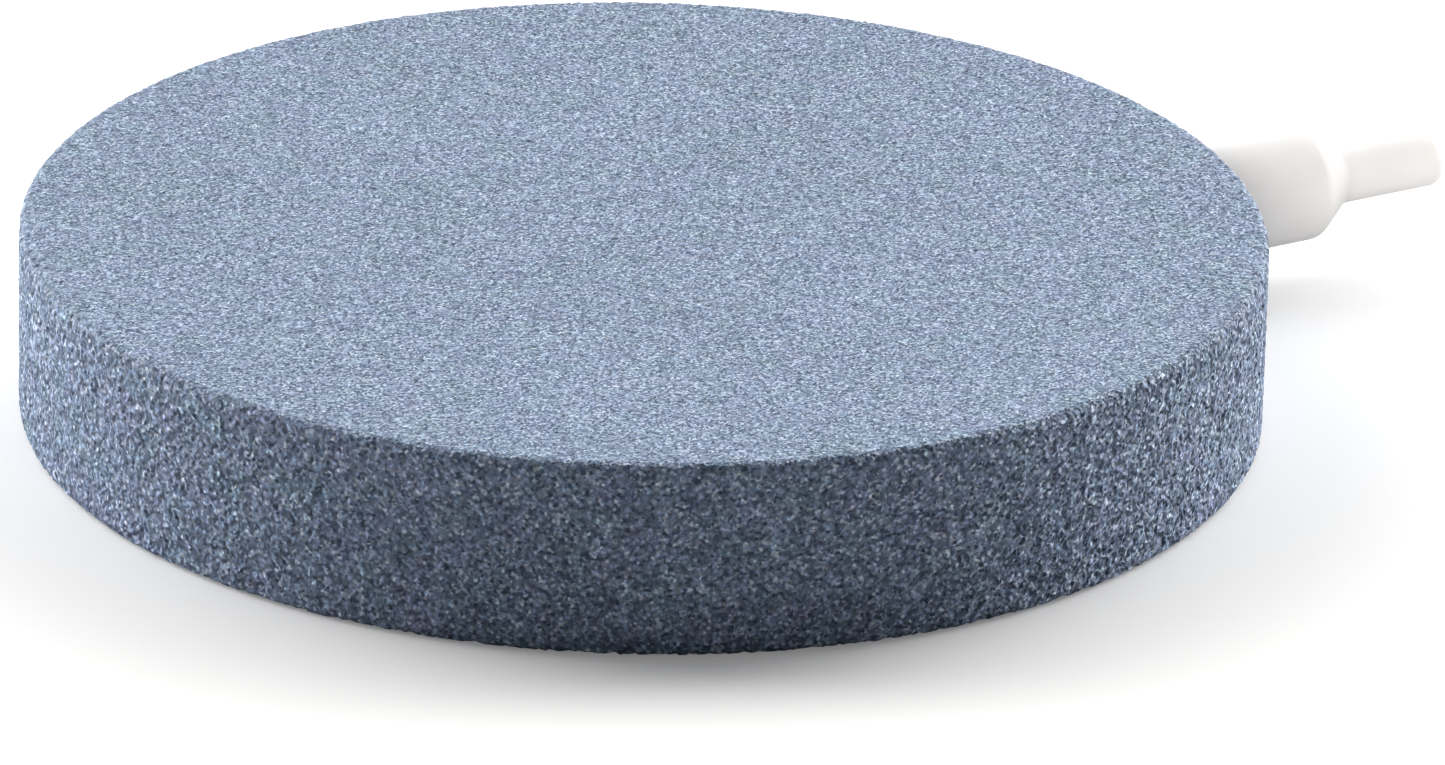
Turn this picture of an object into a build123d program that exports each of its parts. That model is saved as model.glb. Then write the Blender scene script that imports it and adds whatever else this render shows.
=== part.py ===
from build123d import *

import os

# Disc air stone: a porous puck round a sealed air chamber, fed by one hose nozzle in its side.
# The origin is the centre of the flat underside, +Z is up and +X runs out along the nozzle.

# Disc
disc_radius = 50.0
disc_height = 16.0
top_edge_radius = 0.8
foot_edge_radius = 0.8

# Air chamber under the diffusing top
chamber_radius = 38.0
diffuser_thickness = 5.0
chamber_corner_radius = 2.0
pillar_count = 6
pillar_radius = 3.0
pillar_circle_radius = 21.0

# Base plate, let into the underside
plate_radius = 42.0
plate_thickness = 4.0

# Adhesive
bond_thickness = 0.25
bond_recess = 0.3
bead_width = 0.45
bead_length = 0.7

# Nozzle: tail in the wall, shank in the socket, cone shoulder, spigot
nozzle_height = 7.7
tail_radius = 2.9
tail_overhang = 1.5
groove_count = 2
groove_width = 1.2
groove_depth = 0.4
groove_pitch = 2.6
socket_depth = 5.0
shank_radius = 4.7
shank_exposed_length = 13.2
shoulder_length = 3.2
shoulder_edge_radius = 1.2
neck_fillet_radius = 1.6
spigot_radius = 2.3
spigot_length = 9.9
tip_edge_radius = 1.2
feed_bore_radius = 1.8
spigot_bore_radius = 1.0

# Heights and stations that follow from them
chamber_top = disc_height - diffuser_thickness
ledge_height = plate_thickness + bond_thickness
recess_radius = plate_radius + bond_thickness
socket_radius = shank_radius + bond_thickness
tail_hole_radius = tail_radius + bond_thickness
tail_start = chamber_radius - tail_overhang
shank_start = disc_radius - socket_depth + bond_thickness
shoulder_start = disc_radius + shank_exposed_length
spigot_start = shoulder_start + shoulder_length
spigot_end = spigot_start + spigot_length

# Cutting tools run this far past the faces that they open
clearance = 1.0


def upright(radius, bottom, top):
    """Cylinder about the Z axis between two heights."""
    post = Cylinder(radius, top - bottom, align=(Align.CENTER, Align.CENTER, Align.MIN))
    return Pos(0, 0, bottom) * post


def along_nozzle(radius, start, end):
    """Cylinder about the nozzle's axis between two distances from the disc's axis."""
    rod = Cylinder(radius, end - start, align=(Align.CENTER, Align.CENTER, Align.MIN))
    return Pos(start, 0, nozzle_height) * Rot(0, 90, 0) * rod


def turned_on_nozzle(profile):
    """Revolves a face, drawn as distance along the nozzle by radius, about the nozzle's axis."""
    return Pos(0, 0, nozzle_height) * revolve(profile, Axis.X)


def turned_upright(profile):
    """Revolves a face, drawn as radius by height, about the Z axis, from the side off the nozzle."""
    return Rot(0, 0, 180) * revolve(Plane.XZ * profile, Axis.Z)


def rounded(profile, corner, radius):
    """Rounds the one corner of a flat face that lies at a point."""
    return fillet(profile.vertices().sort_by_distance(corner)[0], radius)


def pillars(bottom, top):
    """The ring of posts that carry the diffusing top, between two heights."""
    ring = PolarLocations(pillar_circle_radius, pillar_count, start_angle=180 / pillar_count)
    return [place * upright(pillar_radius, bottom, top) for place in ring]


def hollow_disc():
    """The puck with its plate recess, its chamber and the pillars, before the nozzle's socket."""
    outline = [
        (0, chamber_top),
        (chamber_radius, chamber_top),
        (chamber_radius, ledge_height),
        (recess_radius, ledge_height),
        (recess_radius, 0),
        (disc_radius, 0),
        (disc_radius, disc_height),
        (0, disc_height),
    ]
    profile = make_face(Polyline(*outline, close=True))
    profile = rounded(profile, (chamber_radius, chamber_top), chamber_corner_radius)
    profile = rounded(profile, (recess_radius, 0), bond_recess)
    profile = rounded(profile, (disc_radius, 0), foot_edge_radius)
    profile = rounded(profile, (disc_radius, disc_height), top_edge_radius)
    puck = turned_upright(profile)
    for pillar in pillars(ledge_height, chamber_top + clearance):
        puck += pillar
    return puck


def nozzle_socket():
    """The stepped hole that takes the nozzle: a socket for the shank and a hole for the tail."""
    socket = along_nozzle(socket_radius, disc_radius - socket_depth, disc_radius + clearance)
    return socket + along_nozzle(tail_hole_radius, tail_start, disc_radius - socket_depth)


def stone_body():
    """The porous cup that makes the whole visible disc."""
    return hollow_disc() - nozzle_socket()


def base_plate():
    """The stone plate that closes the chamber from below."""
    outline = [(0, 0), (plate_radius, 0), (plate_radius, plate_thickness), (0, plate_thickness)]
    profile = make_face(Polyline(*outline, close=True))
    return turned_upright(rounded(profile, (plate_radius, 0), bond_recess))


def base_bond_ring():
    """Adhesive round the plate's rim and on the ledge above it, set back from the underside."""
    filled = upright(recess_radius, bond_recess, ledge_height)
    opening = upright(chamber_radius, plate_thickness - clearance, ledge_height + clearance)
    return filled - opening - upright(plate_radius, 0, plate_thickness)


def pillar_bonds():
    """Adhesive dabs between the pillars and the plate."""
    return Compound(children=pillars(plate_thickness, ledge_height))


def nozzle_outside():
    """The nozzle as a solid turning, with no bore."""
    outline = [
        (tail_start, 0),
        (tail_start, tail_radius),
        (shank_start, tail_radius),
        (shank_start, shank_radius),
        (shoulder_start, shank_radius),
        (spigot_start, spigot_radius),
        (spigot_end, spigot_radius),
        (spigot_end, 0),
    ]
    profile = make_face(Polyline(*outline, close=True))
    profile = rounded(profile, (shoulder_start, shank_radius), shoulder_edge_radius)
    profile = rounded(profile, (spigot_start, spigot_radius), neck_fillet_radius)
    profile = rounded(profile, (spigot_end, spigot_radius), tip_edge_radius)
    turning = turned_on_nozzle(profile)
    for number in range(groove_count):
        start = shank_start - groove_pitch * (number + 1)
        cutter = along_nozzle(tail_radius + clearance, start, start + groove_width)
        turning -= cutter - along_nozzle(tail_radius - groove_depth, start, start + groove_width)
    return turning


def air_nozzle():
    """The moulded nozzle, with a wide feed bore that narrows to the spigot's bore."""
    feed_bore = along_nozzle(feed_bore_radius, tail_start - clearance, shoulder_start)
    spigot_bore = along_nozzle(spigot_bore_radius, shoulder_start - clearance, spigot_end + clearance)
    return nozzle_outside() - feed_bore - spigot_bore


def nozzle_bond():
    """Adhesive that fills the socket round the nozzle and stands out as a small bead."""
    crest = shank_radius + bond_thickness + bead_width
    outline = [
        (disc_radius - clearance, shank_radius),
        (disc_radius - clearance, crest),
        (disc_radius + bond_thickness, crest),
        (disc_radius + bead_length, shank_radius),
    ]
    bead = turned_on_nozzle(make_face(Polyline(*outline, close=True)))
    bead -= upright(disc_radius, 0, disc_height)
    sleeve = (hollow_disc() & nozzle_socket()) - nozzle_outside()
    return sleeve + bead


sub_parts = {
    "stone_body": stone_body,
    "base_plate": base_plate,
    "base_bond_ring": base_bond_ring,
    "pillar_bonds": pillar_bonds,
    "air_nozzle": air_nozzle,
    "nozzle_bond": nozzle_bond,
}

os.makedirs("parts", exist_ok=True)
for name, make in sub_parts.items():
    export_step(make(), f"parts/{name}.step")
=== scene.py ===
import math

import bmesh
import bpy
import numpy as np
from mathutils import Matrix, Quaternion, Vector


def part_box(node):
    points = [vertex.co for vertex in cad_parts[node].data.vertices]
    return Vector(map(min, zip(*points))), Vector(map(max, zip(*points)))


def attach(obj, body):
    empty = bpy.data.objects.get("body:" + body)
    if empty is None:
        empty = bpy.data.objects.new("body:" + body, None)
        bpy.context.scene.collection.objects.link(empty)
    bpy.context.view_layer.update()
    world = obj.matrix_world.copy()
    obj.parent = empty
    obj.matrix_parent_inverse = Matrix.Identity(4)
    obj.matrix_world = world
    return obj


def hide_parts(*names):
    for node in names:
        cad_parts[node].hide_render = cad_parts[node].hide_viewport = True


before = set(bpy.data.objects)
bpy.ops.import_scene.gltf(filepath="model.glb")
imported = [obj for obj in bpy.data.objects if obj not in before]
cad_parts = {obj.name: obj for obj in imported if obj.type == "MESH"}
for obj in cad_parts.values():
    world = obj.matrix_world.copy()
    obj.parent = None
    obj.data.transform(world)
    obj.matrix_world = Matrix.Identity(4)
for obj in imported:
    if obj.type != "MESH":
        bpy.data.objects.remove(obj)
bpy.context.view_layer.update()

# A disc air stone: bonded blue-grey grit with a white moulded hose nozzle.
# Lengths are in metres, +Z is up and the nozzle runs out along +X.
MM = 0.001
draws = np.random.default_rng(seed=4107)

# Places and sizes that come from the frame
_, body_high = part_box("stone_body")
_, plate_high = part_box("base_plate")
_, ring_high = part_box("base_bond_ring")
_, dabs_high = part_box("pillar_bonds")
nozzle_low, nozzle_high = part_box("air_nozzle")
_, bond_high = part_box("nozzle_bond")
disc_radius = body_high.y
disc_height = body_high.z
plate_radius = plate_high.y
recess_radius = ring_high.y
ledge_height = ring_high.z
nozzle_axis_height = (nozzle_low.z + nozzle_high.z) / 2
shank_radius = nozzle_high.y
bead_radius = bond_high.y
bead_end = bond_high.x

# Shapes of the stone that the frame's boxes don't hold. The pillars end inside the chamber's roof.
top_edge_radius = 0.8 * MM
foot_edge_radius = 0.8 * MM
recess_edge_radius = 0.3 * MM
chamber_radius = 38 * MM
chamber_top = 11 * MM
pillar_count = 6
pillar_radius = 3 * MM
pillar_circle_radius = dabs_high.y - pillar_radius
pillar_root = 1 * MM
pillar_sides = 40
socket_radius = shank_radius + recess_radius - plate_radius
socket_depth = 5 * MM
socket_floor = disc_radius - socket_depth

# Grit: the spacing of its points, how deep they sink on the ground top and on the moulded sides, how
# few of them sink deep, and how far they stray sideways, as a share of the spacing and its largest multiple
grit_pitch = 0.38 * MM
ground_depth = 0.05 * MM
moulded_depth = 0.18 * MM
sink_power = 1.6
stray = 0.27
stray_limit = 1.2

# Adhesive bead: its mesh, its mean width and its sway as shares of the frame's, and its section's fullness
bead_steps = 240
bead_rows = 10
bead_waves = range(2, 12)
bead_mean_width = 1.35
bead_width_sway = 0.45
bead_length_sway = 0.35
bead_out_power = 1.2
bead_along_power = 0.8


def new_piece(name, points, faces):
    """An object made from points and faces, linked to the scene."""
    mesh = bpy.data.meshes.new(name)
    mesh.from_pydata(points, [], faces)
    piece = bpy.data.objects.new(name, mesh)
    bpy.context.scene.collection.objects.link(piece)
    return piece


def reshape(piece, *steps):
    """Runs steps on a piece's mesh while it is open for editing."""
    mesh = bmesh.new()
    mesh.from_mesh(piece.data)
    for step in steps:
        step(mesh)
    mesh.to_mesh(piece.data)
    mesh.free()


def face_outward(mesh):
    """Turns an open mesh's faces outwards."""
    bmesh.ops.recalc_face_normals(mesh, faces=mesh.faces)


# ---------- profiles ----------

def line(start, end):
    """Evenly spaced points on a straight stretch, with their outward normals, leaving out the last."""
    start, end = np.array(start), np.array(end)
    count = max(1, round(np.linalg.norm(end - start) / grit_pitch))
    step = (end - start) / count
    normal = np.array([-step[1], step[0]]) / np.linalg.norm(step)
    return [(*(start + step * i), *normal) for i in range(count)]


def arc(centre, radius, from_angle, to_angle):
    """Points on a convex arc, with their outward normals, leaving out the last."""
    turn = math.radians(to_angle - from_angle)
    count = max(2, round(abs(turn) * radius / grit_pitch))
    points = []
    for i in range(count):
        angle = math.radians(from_angle) + turn * i / count
        out = (math.cos(angle), math.sin(angle))
        points.append((centre[0] + radius * out[0], centre[1] + radius * out[1], *out))
    return points


# ---------- bonded grit ----------

def square_to_disc(count):
    """A square's grid bent on to a unit disc: its points, their grid of numbers, and the rim's in order."""
    side = np.linspace(-1, 1, count + 1)
    u, v = np.meshgrid(side, side, indexing="ij")
    wide = np.abs(u) >= np.abs(v)
    radius = np.where(wide, u, v)
    with np.errstate(divide="ignore", invalid="ignore"):
        angle = np.where(wide, math.pi / 4 * v / u, math.pi / 2 - math.pi / 4 * u / v)
    angle = np.nan_to_num(angle)
    x, y = radius * np.cos(angle), radius * np.sin(angle)
    index = np.arange((count + 1) ** 2).reshape(count + 1, count + 1)
    rim = np.unique(np.concatenate([index[0], index[-1], index[:, 0], index[:, -1]]))
    order = np.argsort(np.mod(np.arctan2(y.ravel()[rim], x.ravel()[rim]), 2 * math.pi))
    return np.stack([x.ravel(), y.ravel()], 1), index, rim[order]


def triangles(a, b, c, d):
    """Two triangles for each four-cornered cell, cut along a diagonal picked at random."""
    pick = draws.random(len(a)) < 0.5
    first = np.where(pick[:, None], np.stack([a, b, c], 1), np.stack([a, b, d], 1))
    second = np.where(pick[:, None], np.stack([a, c, d], 1), np.stack([b, c, d], 1))
    return np.concatenate([first, second])


def turned_grit(name, cap_radius, cap_height, cap_up, rows, smooth_rows):
    """A closed turned solid: a cap and rows of rough grit, then plain rows, which don't show, to its end.

    Each row is its radius, its height and its outward direction, in order from the cap's rim."""
    count = round(2 * math.pi * cap_radius / grit_pitch / 4)
    flat, index, rim = square_to_disc(count)
    points = [np.column_stack([flat * cap_radius, np.full(len(flat), cap_height)])]
    normals = [np.tile([0.0, 0.0, cap_up], (len(flat), 1))]
    angles = np.arctan2(flat[rim, 1], flat[rim, 0])
    around = np.stack([np.cos(angles), np.sin(angles)], 1)
    total = len(flat)
    rings = [rim]
    for radius, height, out, up in [*rows, *smooth_rows]:
        points.append(np.column_stack([around * radius, np.full(len(rim), height)]))
        normals.append(np.column_stack([around * out, np.full(len(rim), up)]))
        rings.append(np.arange(total, total + len(rim)))
        total += len(rim)
    points, normals = np.concatenate(points), np.concatenate(normals)
    ground = np.clip(normals[:, 2] * cap_up, 0, 1) ** 2
    rough = moulded_depth + (ground_depth - moulded_depth) * ground
    rough[total - len(smooth_rows) * len(rim):] = 0

    depth = draws.random(total) ** sink_power * rough
    shake = draws.normal(size=(total, 3)) * (rough[:, None] > 0)
    shake -= normals * np.sum(shake * normals, axis=1, keepdims=True)
    points = points + shake.clip(-stray_limit, stray_limit) * stray * grit_pitch
    points -= normals * depth[:, None]

    corners = (index[:-1, :-1], index[1:, :-1], index[1:, 1:], index[:-1, 1:])
    cells = [triangles(*(corner.ravel() for corner in corners))]
    if cap_up < 0:
        cells[0] = cells[0][:, ::-1]
    for inner, outer in zip(rings[:-1], rings[1:]):
        band = triangles(inner, outer, np.roll(outer, -1), np.roll(inner, -1))
        cells.append(band if cap_up > 0 else band[:, ::-1])
    last = rings[-1] if cap_up > 0 else rings[-1][::-1]
    piece = new_piece(name, points.tolist(), [*np.concatenate(cells).tolist(), last.tolist()])
    for attribute, values in (("grit_depth", depth / moulded_depth), ("ground", ground)):
        layer = piece.data.attributes.new(attribute, "FLOAT", "POINT")
        layer.data.foreach_set("value", values.astype(np.float32))
    piece.data.validate()
    return piece


def cut_socket(mesh):
    """Opens the nozzle's round blind socket in the +X side of an open mesh."""

    def off_axis(vertex):
        return math.hypot(vertex.co.y, vertex.co.z - nozzle_axis_height)

    def in_socket(vertex):
        return vertex.co.x > socket_floor and off_axis(vertex) < socket_radius

    inside = [face for face in mesh.faces if len(face.verts) == 3 and all(map(in_socket, face.verts))]
    bmesh.ops.delete(mesh, geom=inside, context="FACES")
    rim = [edge for edge in mesh.edges if edge.is_boundary]
    for vertex in {vertex for edge in rim for vertex in edge.verts}:
        scale = socket_radius / off_axis(vertex)
        vertex.co.y *= scale
        vertex.co.z = nozzle_axis_height + (vertex.co.z - nozzle_axis_height) * scale
    for element in bmesh.ops.extrude_edge_only(mesh, edges=rim)["geom"]:
        if isinstance(element, bmesh.types.BMVert):
            element.co.x = socket_floor
    bmesh.ops.holes_fill(mesh, edges=[edge for edge in mesh.edges if edge.is_boundary])


def add_pillars(mesh):
    """Adds closed posts, from the plate's bonds up into the chamber's roof, to an open mesh."""
    height = chamber_top + pillar_root - ledge_height
    for number in range(pillar_count):
        angle = math.pi * (2 * number + 1) / pillar_count
        x, y = pillar_circle_radius * math.cos(angle), pillar_circle_radius * math.sin(angle)
        place = Matrix.Translation((x, y, ledge_height + height / 2))
        bmesh.ops.create_cone(mesh, cap_ends=True, segments=pillar_sides, radius1=pillar_radius,
                              radius2=pillar_radius, depth=height, matrix=place)


def make_stone_body():
    """The disc, rough all over its outside, with its chamber, pillars and socket."""
    cap_radius = disc_radius - top_edge_radius
    side_top = disc_height - top_edge_radius
    foot_radius = disc_radius - foot_edge_radius
    lip_radius = recess_radius + recess_edge_radius
    rows = [
        *arc((cap_radius, side_top), top_edge_radius, 90, 0)[1:],
        *line((disc_radius, side_top), (disc_radius, foot_edge_radius)),
        *arc((foot_radius, foot_edge_radius), foot_edge_radius, 0, -90),
        *line((foot_radius, 0), (lip_radius, 0)),
        *arc((lip_radius, recess_edge_radius), recess_edge_radius, 270, 180),
    ]
    hidden = [
        (recess_radius, recess_edge_radius, -1, 0),
        (recess_radius, ledge_height, -1, 0),
        (chamber_radius, ledge_height, -1, 0),
        (chamber_radius, chamber_top, -1, 0),
    ]
    piece = turned_grit("stone_body_grit", cap_radius, disc_height, 1.0, rows, hidden)
    reshape(piece, cut_socket, face_outward, add_pillars)
    return piece


def make_base_plate():
    """The plate that closes the chamber, rough on its underside."""
    cap_radius = plate_radius - recess_edge_radius
    rows = arc((cap_radius, recess_edge_radius), recess_edge_radius, -90, 0)[1:]
    hidden = [(plate_radius, recess_edge_radius, 1, 0), (plate_radius, plate_high.z, 1, 0)]
    return turned_grit("base_plate_grit", cap_radius, 0.0, -1.0, rows, hidden)


# ---------- adhesive ----------

def waves(turn):
    """A smooth closed unevenness between -1 and 1."""
    total = sum(draws.normal() / k * np.sin(k * turn + draws.uniform(0, 2 * math.pi)) for k in bead_waves)
    return total / np.abs(total).max()


def make_nozzle_bond():
    """The adhesive sleeve round the shank, with a bead laid by hand against the disc's wall."""
    turn = np.arange(bead_steps) * 2 * math.pi / bead_steps
    across, up = np.sin(turn), np.cos(turn)
    width = (bead_radius - shank_radius) * (bead_mean_width + bead_width_sway * waves(turn))
    length = (bead_end - disc_radius) * (1.0 + bead_length_sway * waves(turn))

    def loop(radius, x):
        """Points round the nozzle's axis."""
        return np.column_stack([x, radius * across, nozzle_axis_height + radius * up])

    def wall(radius):
        """Where such a loop meets the disc's wall, just under the grit."""
        return np.sqrt(disc_radius ** 2 - (radius * across) ** 2) - moulded_depth

    floor_x = np.full(bead_steps, socket_floor)
    loops = [
        loop(shank_radius, floor_x),
        loop(socket_radius, floor_x),
        loop(socket_radius, wall(socket_radius)),
    ]
    for angle in np.radians(np.linspace(0, 90, bead_rows)):
        radius = shank_radius + width * math.cos(angle) ** bead_out_power
        along = math.sin(angle) ** bead_along_power * (length + moulded_depth)
        loops.append(loop(radius, wall(radius) + along))

    index = np.arange(len(loops) * bead_steps).reshape(len(loops), bead_steps)
    after = np.roll(index, -1, axis=0)
    corners = (index, after, np.roll(after, -1, axis=1), np.roll(index, -1, axis=1))
    faces = np.stack(corners, axis=-1).reshape(-1, 4)
    piece = new_piece("nozzle_bead", np.concatenate(loops).tolist(), faces.tolist())
    piece.data.shade_smooth()
    reshape(piece, face_outward)
    return piece


# ---------- materials ----------

# Stone: the size of its grains, and of the chips of colour on the moulded sides and on the ground top
grain_size = 0.40 * MM
side_chip = 0.27 * MM
top_chip = 0.18 * MM
glint_from = 0.93
glint_gloss = 0.35

# Grit soaked with adhesive: where it starts to fade past the bead, where it ends, its ragged edge, its
# tone and gloss, and how far along X it is kept to
soak_near = 0.5 * MM
soak_far = 1.7 * MM
soak_ragged = 0.9 * MM
soaked_tone = 0.62
soaked_gloss = 0.25
soaked_side = disc_radius * 0.8


class Nodes:
    """Shorthand for building a node tree, a new material's or one that is passed in."""

    def __init__(self, name="", tree=None):
        if tree:
            self.tree = tree
            return
        self.material = bpy.data.materials.new(name)
        self.material.use_nodes = True
        self.tree = self.material.node_tree
        self.shader = self.tree.nodes["Principled BSDF"]

    def add(self, kind, inputs=None, **settings):
        """Adds a shader node, with its inputs joined or set."""
        node = self.tree.nodes.new("ShaderNode" + kind)
        for key, value in settings.items():
            setattr(node, key, value)
        for key, value in (inputs or {}).items():
            self.join(value, node.inputs[key])
        return node

    def join(self, value, socket):
        """Links a socket's value, or sets a plain one."""
        if isinstance(value, bpy.types.NodeSocket):
            self.tree.links.new(value, socket)
        else:
            socket.default_value = value

    def noise(self, place, scale, detail):
        return self.add("TexNoise", {"Vector": place, "Scale": scale, "Detail": detail}).outputs["Fac"]

    def ramp(self, factor, stops):
        """A colour that runs through stops of place and colour."""
        node = self.add("ValToRGB", {"Fac": factor})
        while len(node.color_ramp.elements) < len(stops):
            node.color_ramp.elements.new(1)
        for element, (place, colour) in zip(node.color_ramp.elements, stops):
            element.position = place
            element.color = (*colour, 1)
        return node.outputs["Color"]

    def maths(self, operation, a, b=0.0):
        return self.add("Math", {0: a, 1: b}, operation=operation).outputs[0]

    def times(self, a, b):
        return self.maths("MULTIPLY", a, b)

    def mix(self, factor, a, b, blend="MIX"):
        node = self.add("Mix", data_type="RGBA", blend_type=blend)
        self.join(factor, node.inputs["Factor"])
        self.join(a, node.inputs["A"])
        self.join(b, node.inputs["B"])
        return node.outputs["Result"]

    def tinted(self, colour, tint):
        return self.mix(1.0, colour, tint, "MULTIPLY")

    def spread(self, value, low, high, to_low, to_high, interpolation="LINEAR"):
        """A value carried from one range to another, and held at its ends."""
        return self.add("MapRange", {"Value": value, "From Min": low, "From Max": high, "To Min": to_low,
                                     "To Max": to_high}, interpolation_type=interpolation).outputs["Result"]


def bonded_grit():
    """Blue-grey mineral grains, each with its own shade, gloss and facet, with painted shade in their pits
    and between them.
    """
    nodes = Nodes("bonded_grit")
    place = nodes.add("TexCoord").outputs["Object"]
    grain = nodes.add("TexVoronoi", {"Vector": place, "Scale": 1 / grain_size})
    coarse = nodes.add("TexVoronoi", {"Vector": place, "Scale": 1 / side_chip}).outputs["Color"]
    fine = nodes.add("TexVoronoi", {"Vector": place, "Scale": 1 / top_chip}).outputs["Color"]
    drift = nodes.noise(place, 60.0, 3.0)
    grain_parts = nodes.add("SeparateColor", {"Color": grain.outputs["Color"]})
    pit = nodes.add("Attribute", attribute_name="grit_depth").outputs["Fac"]
    ground = nodes.add("Attribute", attribute_name="ground").outputs["Fac"]
    chip = nodes.mix(nodes.maths("GREATER_THAN", ground, 0.5), coarse, fine)
    chip_parts = nodes.add("SeparateColor", {"Color": chip})

    def by_ground(on_sides, on_top):
        return nodes.spread(ground, 0.0, 1.0, on_sides, on_top)

    # Grit soaked with adhesive round the nozzle's root
    spot = nodes.add("SeparateXYZ", {"Vector": place})
    above_axis = nodes.maths("SUBTRACT", spot.outputs["Z"], nozzle_axis_height)
    off_axis = nodes.add("CombineXYZ", {"X": spot.outputs["Y"], "Y": above_axis})
    reach = nodes.add("VectorMath", {0: off_axis.outputs[0]}, operation="LENGTH").outputs["Value"]
    edge = nodes.noise(place, 420.0, 4.0)
    reach = nodes.maths("ADD", reach, nodes.spread(edge, 0.3, 0.7, -soak_ragged, soak_ragged))
    soaked = nodes.spread(reach, bead_radius + soak_near, bead_radius + soak_far, 1.0, 0.0, "SMOOTHSTEP")
    soaked = nodes.times(soaked, nodes.maths("GREATER_THAN", spot.outputs["X"], soaked_side))

    # Brightness, from the grains, a slow drift, and painted shade in the pits and in the gaps between grains
    grain_shade = grain_parts.outputs["Green"]
    lump = nodes.spread(grain_shade, 0.0, 1.0, by_ground(0.80, 0.96), by_ground(1.20, 1.04))
    tone = nodes.spread(drift, 0.3, 0.7, 0.96, 1.04)
    # Painted shade: the grit darkens the deeper it sinks into its pits
    pit_shade = nodes.spread(pit, 0.0, 1.0, 1.12, 0.70)
    # Painted shade: each grain darkens towards its edges, in the gaps between grains
    gap_shade = nodes.spread(grain.outputs["Distance"], 0.25, 0.65, by_ground(1.2, 1.0), by_ground(0.64, 0.9))
    gain = nodes.times(nodes.times(lump, tone), nodes.times(pit_shade, gap_shade))
    gain = nodes.times(gain, nodes.spread(soaked, 0.0, 1.0, 1.0, soaked_tone))

    # Colour: each chip's shade and tint, the top darkened by painted shade, and a slow change of hue
    colour = nodes.ramp(chip_parts.outputs["Red"], [
        (0.00, (0.072, 0.110, 0.190)),
        (0.25, (0.192, 0.258, 0.395)),
        (0.60, (0.290, 0.372, 0.545)),
        (0.85, (0.436, 0.535, 0.735)),
        (1.00, (0.750, 0.840, 0.980)),
    ])
    tint = nodes.ramp(chip_parts.outputs["Green"], [
        (0.0, (1.03, 0.99, 0.98)),
        (0.5, (1.00, 1.00, 1.00)),
        (1.0, (0.93, 1.01, 1.03)),
    ])
    # Painted shade: the ground top darkened, and a little bluer, to offset the stronger light it gets
    top_painted_shade = nodes.mix(ground, (0.990, 0.995, 1.000, 1.0), (0.610, 0.640, 0.645, 1.0))
    blotches = nodes.noise(place, 330.0, 2.0)
    cast = nodes.ramp(blotches, [(0.32, (1.05, 0.985, 1.03)), (0.68, (0.95, 1.015, 0.97))])
    for layer in (tint, top_painted_shade, cast):
        colour = nodes.tinted(colour, layer)
    colour = nodes.add("VectorMath", {0: colour, "Scale": gain}, operation="SCALE").outputs[0]
    nodes.join(colour, nodes.shader.inputs["Base Color"])

    # Gloss: dull grains, a few glinting chips, and the soaked grit
    glint = nodes.maths("GREATER_THAN", chip_parts.outputs["Blue"], glint_from)
    dull = nodes.spread(grain_shade, 0.0, 1.0, 0.55, 0.9)
    gloss = nodes.maths("ADD", nodes.times(glint, glint_gloss), nodes.times(soaked, soaked_gloss))
    nodes.join(nodes.maths("SUBTRACT", dull, gloss), nodes.shader.inputs["Roughness"])

    # Facets: each chip tilts the surface its own way
    centred = nodes.add("VectorMath", {0: chip, 1: (0.5, 0.5, 0.5)}, operation="SUBTRACT").outputs[0]
    tilt = nodes.add("VectorMath", {0: centred, "Scale": by_ground(0.42, 0.5)}, operation="SCALE").outputs[0]
    facing = nodes.add("NewGeometry").outputs["Normal"]
    tilted = nodes.add("VectorMath", {0: facing, 1: tilt}, operation="ADD").outputs[0]
    facet = nodes.add("VectorMath", {0: tilted}, operation="NORMALIZE").outputs[0]
    nodes.join(facet, nodes.shader.inputs["Normal"])
    return nodes.material


def white_plastic():
    """Slightly cloudy white polypropylene with a fine moulded texture."""
    nodes = Nodes("white_plastic")
    place = nodes.add("TexCoord").outputs["Object"]
    cloud = nodes.noise(place, 220.0, 3.0)
    colour = nodes.ramp(cloud, [(0.3, (0.585, 0.577, 0.573)), (0.7, (0.615, 0.607, 0.603))])
    nodes.join(colour, nodes.shader.inputs["Base Color"])
    nodes.join(nodes.spread(cloud, 0.3, 0.7, 0.5, 0.6), nodes.shader.inputs["Roughness"])
    nodes.shader.inputs["Specular IOR Level"].default_value = 0.0
    nodes.shader.inputs["Subsurface Weight"].default_value = 1.0
    nodes.shader.inputs["Subsurface Radius"].default_value = (1.0, 0.93, 0.9)
    nodes.shader.inputs["Subsurface Scale"].default_value = 2.0 * MM
    texture = nodes.noise(place, 2600.0, 2.0)
    bump = nodes.add("Bump", {"Height": texture, "Strength": 0.12, "Distance": 0.03 * MM})
    nodes.join(bump.outputs["Normal"], nodes.shader.inputs["Normal"])
    return nodes.material


def epoxy():
    """Cured adhesive, cloudy and pale amber, with a rippled gloss."""
    nodes = Nodes("epoxy")
    place = nodes.add("TexCoord").outputs["Object"]
    ripple = nodes.noise(place, 700.0, 3.0)
    colour = nodes.ramp(ripple, [(0.3, (0.50, 0.48, 0.42)), (0.7, (0.62, 0.60, 0.54))])
    nodes.join(colour, nodes.shader.inputs["Base Color"])
    nodes.join(nodes.spread(ripple, 0.3, 0.7, 0.15, 0.35), nodes.shader.inputs["Roughness"])
    bump = nodes.add("Bump", {"Height": ripple, "Strength": 0.4, "Distance": 0.1 * MM})
    nodes.join(bump.outputs["Normal"], nodes.shader.inputs["Normal"])
    return nodes.material


def dress(piece, material):
    """Gives a piece one material in place of any that it has."""
    piece.data.materials.clear()
    piece.data.materials.append(material)


# ---------- assembly ----------

stone = bonded_grit()
plastic = white_plastic()
glue = epoxy()

for piece, node in ((make_stone_body(), "stone_body"), (make_base_plate(), "base_plate")):
    dress(piece, stone)
    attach(piece, "root")
    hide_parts(node)

dress(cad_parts["air_nozzle"], plastic)
bead = make_nozzle_bond()
dress(bead, glue)
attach(bead, "root")
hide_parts("nozzle_bond")
for node in ("base_bond_ring", "pillar_bonds"):
    dress(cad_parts[node], glue)


# ---------- stage, light and camera ----------

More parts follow.
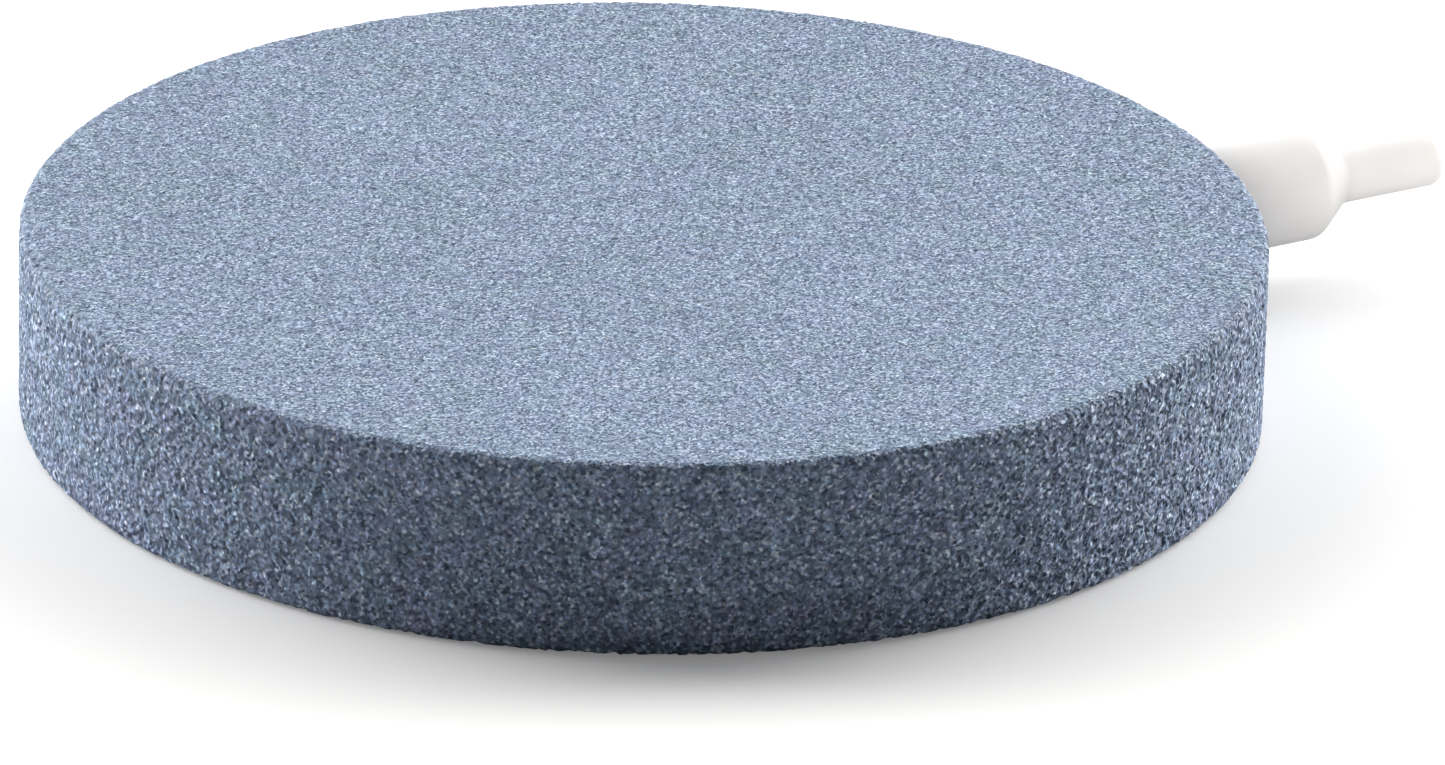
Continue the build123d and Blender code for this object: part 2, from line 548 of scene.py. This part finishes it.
# The camera's direction and distance from the disc's middle, and its small turns away from it
view_azimuth = math.radians(-30.7)
view_elevation = math.radians(22.31)
view_distance = 0.9663
view_yaw = math.radians(0.386)
view_pitch = math.radians(-0.317)
view_roll = math.radians(1.34)
lens = 300.0
view_back = Vector((math.sin(view_azimuth), -math.cos(view_azimuth), 0.0))
view_right = Vector((math.cos(view_azimuth), math.sin(view_azimuth), 0.0))

# The tent's light, as radiance: back_light comes from the side that light_from points to and front_light
# from the other, with an edge between them. It grows towards the horizon and, by side_boost, across.
light_turn = math.radians(6)
light_azimuth = view_azimuth + light_turn
light_from = Vector((-math.sin(light_azimuth), math.cos(light_azimuth), 0.0))
light_across = Vector((math.cos(light_azimuth), math.sin(light_azimuth), 0.0))
light_edge = 0.25
light_softness = 0.15
horizon_light = 1.2
horizon_top = 0.6
back_light = 1.12
front_light = 0.02
side_boost = 9.5

# The nozzle's own fill light, placed from the nozzle's tip towards the camera, a little left and up
fill_power = 9.2
fill_size = 0.4
fill_distance = 0.8
fill_left = 0.08
fill_rise = 0.27
fill_colour = (1.0, 0.975, 0.95)

# The floor's return to the object, as a share of its own white, and the light that it adds for the camera
floor_half_width = 3.0
floor_return = 0.58
floor_lift = 0.17


def make_floor():
    """White paper, a little overexposed to the camera."""
    half = floor_half_width
    corners = [(-half, -half, 0), (half, -half, 0), (half, half, 0), (-half, half, 0)]
    floor = new_piece("floor", corners, [(0, 1, 2, 3)])
    nodes = Nodes("floor_paper")
    place = nodes.add("TexCoord").outputs["Object"]
    grain = nodes.noise(place, 40.0, 2.0)
    seen = nodes.add("LightPath").outputs["Is Camera Ray"]
    paper = nodes.ramp(grain, [(0.3, (0.952, 0.942, 0.928)), (0.7, (0.962, 0.952, 0.938))])
    returned = nodes.spread(seen, 0.0, 1.0, floor_return, 1.0)
    colour = nodes.add("VectorMath", {0: paper, "Scale": returned}, operation="SCALE").outputs[0]
    nodes.join(colour, nodes.shader.inputs["Base Color"])
    nodes.shader.inputs["Roughness"].default_value = 1.0
    nodes.shader.inputs["Specular IOR Level"].default_value = 0.0
    nodes.shader.inputs["Emission Color"].default_value = (1, 1, 1, 1)
    nodes.join(nodes.times(seen, floor_lift), nodes.shader.inputs["Emission Strength"])
    dress(floor, nodes.material)


def make_light():
    """A soft white tent, bright behind and at the sides and dark towards the front."""
    world = bpy.data.worlds.new("tent")
    world.use_nodes = True
    bpy.context.scene.world = world
    nodes = Nodes(tree=world.node_tree)
    way = nodes.add("TexCoord").outputs["Generated"]
    behind = nodes.add("VectorMath", {0: way, 1: light_from}, operation="DOT_PRODUCT").outputs["Value"]
    glow = nodes.spread(behind, light_edge - light_softness, light_edge + light_softness,
                        front_light, back_light, "SMOOTHSTEP")
    beside = nodes.add("VectorMath", {0: way, 1: light_across}, operation="DOT_PRODUCT").outputs["Value"]
    boost = nodes.maths("ADD", 1.0, nodes.times(nodes.times(beside, beside), side_boost))
    height = nodes.add("SeparateXYZ", {"Vector": way}).outputs["Z"]
    low = nodes.spread(height, 0.0, horizon_top, horizon_light, 1.0, "SMOOTHSTEP")
    glow = nodes.times(nodes.times(glow, boost), low)
    seen = nodes.add("LightPath").outputs["Is Camera Ray"]
    strength = nodes.add("Mix", {"Factor": seen, "A": glow, "B": 1.0}).outputs["Result"]
    nodes.join(strength, nodes.tree.nodes["Background"].inputs["Strength"])
    nodes.tree.nodes["Background"].inputs["Color"].default_value = (1, 1, 1, 1)


def make_nozzle_fill():
    """A soft card at the camera's side that lights the white plastic alone."""
    receivers = bpy.data.collections.new("lit_by_fill")
    receivers.objects.link(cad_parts["air_nozzle"])
    data = bpy.data.lights.new("nozzle_fill", "AREA")
    data.size = fill_size
    data.color = fill_colour
    data.energy = fill_power
    fill = bpy.data.objects.new("nozzle_fill", data)
    bpy.context.scene.collection.objects.link(fill)
    towards = (view_back - view_right * fill_left + Vector((0, 0, fill_rise))).normalized()
    fill.location = Vector((nozzle_high.x, 0, nozzle_axis_height)) + towards * fill_distance
    fill.rotation_mode = "QUATERNION"
    fill.rotation_quaternion = (-towards).to_track_quat("-Z", "Y")
    fill.light_linking.receiver_collection = receivers


def make_camera():
    """A long lens at the view's angle."""
    data = bpy.data.cameras.new("camera")
    camera = bpy.data.objects.new("camera", data)
    bpy.context.scene.collection.objects.link(camera)
    data.sensor_width = 36.0
    data.lens = lens
    target = Vector((0, 0, disc_height / 2))
    back = view_back * math.cos(view_elevation) + Vector((0, 0, math.sin(view_elevation)))
    camera.location = target + back * view_distance
    forward = -back
    up = view_right.cross(forward)
    forward = (forward + view_right * math.tan(view_yaw) + up * math.tan(view_pitch)).normalized()
    camera.rotation_mode = "QUATERNION"
    camera.rotation_quaternion = Quaternion(-forward, view_roll) @ forward.to_track_quat("-Z", "Y")
    bpy.context.scene.camera = camera


make_floor()
make_light()
make_nozzle_fill()
make_camera()
bpy.context.scene.view_settings.view_transform = "Standard"
